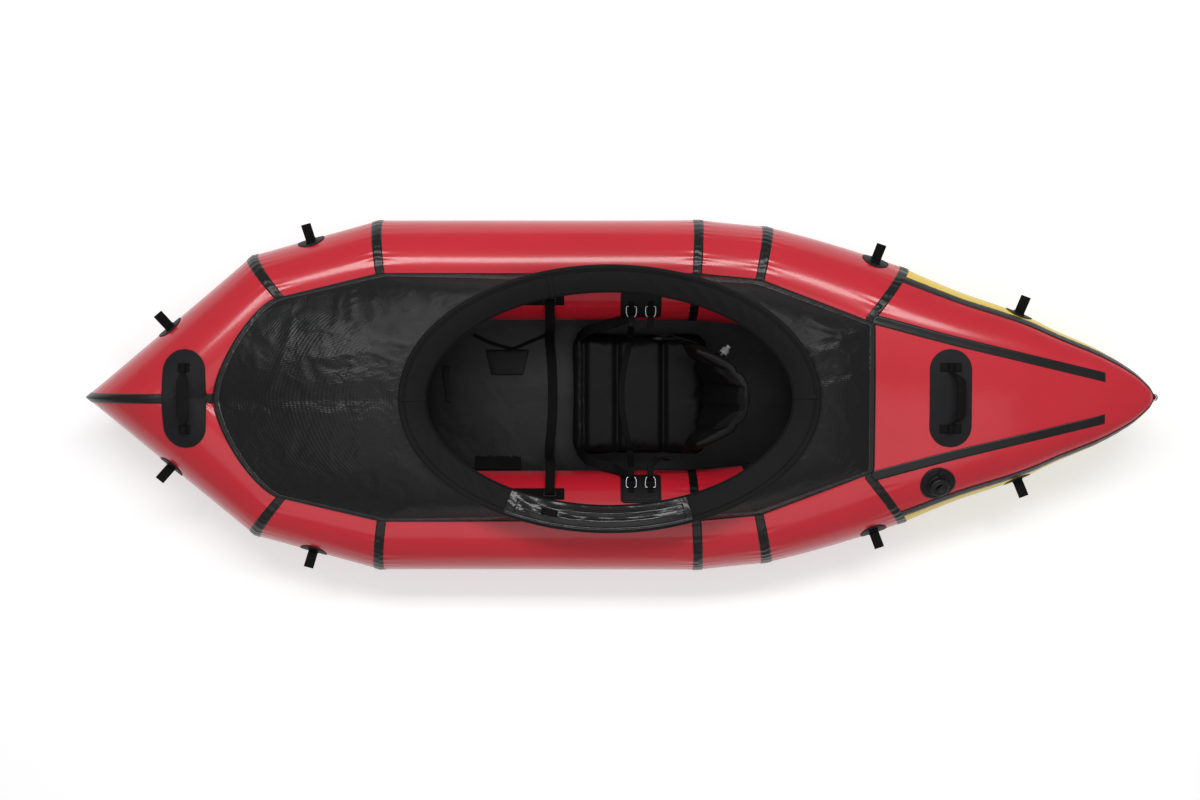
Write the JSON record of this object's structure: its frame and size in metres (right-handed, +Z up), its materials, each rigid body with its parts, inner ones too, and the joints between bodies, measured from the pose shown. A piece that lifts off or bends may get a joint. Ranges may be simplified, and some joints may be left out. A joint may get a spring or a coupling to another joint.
{
  "type": "packraft",
  "caption": "Inflatable decked one-seat boat with pointed ends, an open oval coaming, an air seat with backrest, carrying handles, tie loops and a capped filling valve.",
  "frame": {"origin": "middle of the bounding box's bottom, on the floor sheet's underside", "axes": "+X towards the stern, +Y towards starboard, +Z up, with the boat lying level on its floor"},
  "size_m": [2.7816, 0.9296, 0.3732],
  "materials": {
    "red_fabric": "satin",
    "yellow_fabric": "satin",
    "black_fabric": "satin",
    "black_tape": "gloss",
    "black_webbing": "matte",
    "black_plastic": "satin",
    "rod_plastic": "satin",
    "ring_steel": "polished"
  },
  "bodies": {
    "hull": {"backrest_strap_port": "black_webbing", "backrest_strap_starboard": "black_webbing", "bow_centre_tape": "black_tape", "bow_handle_patch": "black_tape", "bow_tube_port": "red_fabric", "bow_tube_starboard": "red_fabric", "coaming_rod_front": "rod_plastic", "coaming_rod_rear": "rod_plastic", "coaming_sleeve": "black_fabric", "cross_strap": "black_webbing", "deck_sheet": "black_fabric", "floor_sheet": "black_fabric", "front_seam_tape_port": "black_tape", "front_seam_tape_starboard": "black_tape", "front_strap": "black_webbing", "front_tube_port": "red_fabric", "front_tube_starboard": "red_fabric", "quarter_tube_port": "red_fabric", "quarter_tube_starboard": "red_fabric", "ring_plate_port": "black_tape", "ring_plate_starboard": "black_tape", "seat_base": "black_fabric", "side_front_tape_port": "black_tape", "side_front_tape_starboard": "black_tape", "side_rear_tape_port": "black_tape", "side_rear_tape_starboard": "black_tape", "side_tube_port": "red_fabric", "side_tube_starboard": "red_fabric", "stern_bulkhead": "black_fabric", "stern_crest_tape_port": "black_tape", "stern_crest_tape_starboard": "black_tape", "stern_edge_tape": "black_tape", "stern_handle_patch": "black_tape", "stern_joint_tape_port": "black_tape", "stern_joint_tape_starboard": "black_tape", "stern_lower_skin": "yellow_fabric", "stern_upper_skin": "red_fabric", "strap_anchor_port": "black_webbing", "strap_anchor_starboard": "black_webbing", "tie_loop_bow_port": "black_webbing", "tie_loop_bow_starboard": "black_webbing", "tie_loop_front_port": "black_webbing", "tie_loop_front_starboard": "black_webbing", "tie_loop_quarter_port": "black_webbing", "tie_loop_quarter_starboard": "black_webbing", "tie_loop_stern_port": "black_webbing", "tie_loop_stern_starboard": "black_webbing", "valve_body": "black_plastic", "valve_patch": "black_tape"},
    "bow_handle": {"bow_handle": "black_webbing"},
    "stern_handle": {"stern_handle": "black_webbing"},
    "d_ring_fore_port": {"d_ring_fore_port": "ring_steel"},
    "d_ring_fore_starboard": {"d_ring_fore_starboard": "ring_steel"},
    "d_ring_aft_port": {"d_ring_aft_port": "ring_steel"},
    "d_ring_aft_starboard": {"d_ring_aft_starboard": "ring_steel"},
    "seat_backrest": {"seat_backrest": "black_fabric"},
    "backrest_mouthpiece": {"backrest_mouthpiece": "black_plastic"},
    "seat_mouthpiece": {"seat_mouthpiece": "black_plastic"},
    "valve_leash_ring": {"valve_leash_ring": "black_plastic"},
    "valve_cap": {"valve_cap": "black_plastic"}
  },
  "joints": [
    {"name": "bow_handle_swing", "type": "hinge", "parent": "hull", "child": "bow_handle", "pos_m": [-1.1075, 0, 0.33439], "axis": [0, 1, 0], "range_deg": [-65, 45]},
    {"name": "stern_handle_swing", "type": "hinge", "parent": "hull", "child": "stern_handle", "pos_m": [0.8475, 0, 0.30766], "axis": [0, 1, 0], "range_deg": [-90, 20]},
    {"name": "d_ring_fore_port_swing", "type": "hinge", "parent": "hull", "child": "d_ring_fore_port", "pos_m": [0.032, -0.23587, 0.23068], "axis": [1, 0, 0], "range_deg": [-20, 60], "deforming": ["cross_strap"]},
    {"name": "d_ring_fore_starboard_swing", "type": "hinge", "parent": "hull", "child": "d_ring_fore_starboard", "pos_m": [0.032, 0.23587, 0.23068], "axis": [1, 0, 0], "range_deg": [-60, 20], "deforming": ["cross_strap"]},
    {"name": "d_ring_aft_port_swing", "type": "hinge", "parent": "hull", "child": "d_ring_aft_port", "pos_m": [0.082, -0.23583, 0.23068], "axis": [1, 0, 0], "range_deg": [-20, 60], "deforming": ["backrest_strap_port"]},
    {"name": "d_ring_aft_starboard_swing", "type": "hinge", "parent": "hull", "child": "d_ring_aft_starboard", "pos_m": [0.082, 0.23583, 0.23068], "axis": [1, 0, 0], "range_deg": [-60, 20], "deforming": ["backrest_strap_starboard"]},
    {"name": "backrest_fold", "type": "hinge", "parent": "hull", "child": "seat_backrest", "pos_m": [0.1985, 0, 0.0899], "axis": [0, 1, 0], "range_deg": [-45, 3], "deforming": ["backrest_strap_port", "backrest_strap_starboard"]},
    {"name": "seat_mouthpiece_pull", "type": "slide", "parent": "hull", "child": "seat_mouthpiece", "axis": [-0.9613, 0, 0.2756], "range_m": [0, 0.0045]},
    {"name": "backrest_mouthpiece_pull", "type": "slide", "parent": "seat_backrest", "child": "backrest_mouthpiece", "axis": [0.6514, 0.7418, -0.1592], "range_m": [0, 0.0045]},
    {"name": "valve_leash_ring_lift", "type": "slide", "parent": "hull", "child": "valve_leash_ring", "axis": [0.0877, -0.4382, 0.8946], "range_m": [0, 0.0045]},
    {"name": "valve_cap_turn", "type": "hinge", "parent": "valve_leash_ring", "child": "valve_cap", "pos_m": [0.82222, -0.22678, 0.2855], "axis": [0.0877, -0.4382, 0.8946], "range_deg": [0, 540]}
  ],
  "couplings": [
    {"joint": "valve_leash_ring_lift", "follows": "valve_cap_turn", "m_per_rad": 0.0004775}
  ]
}
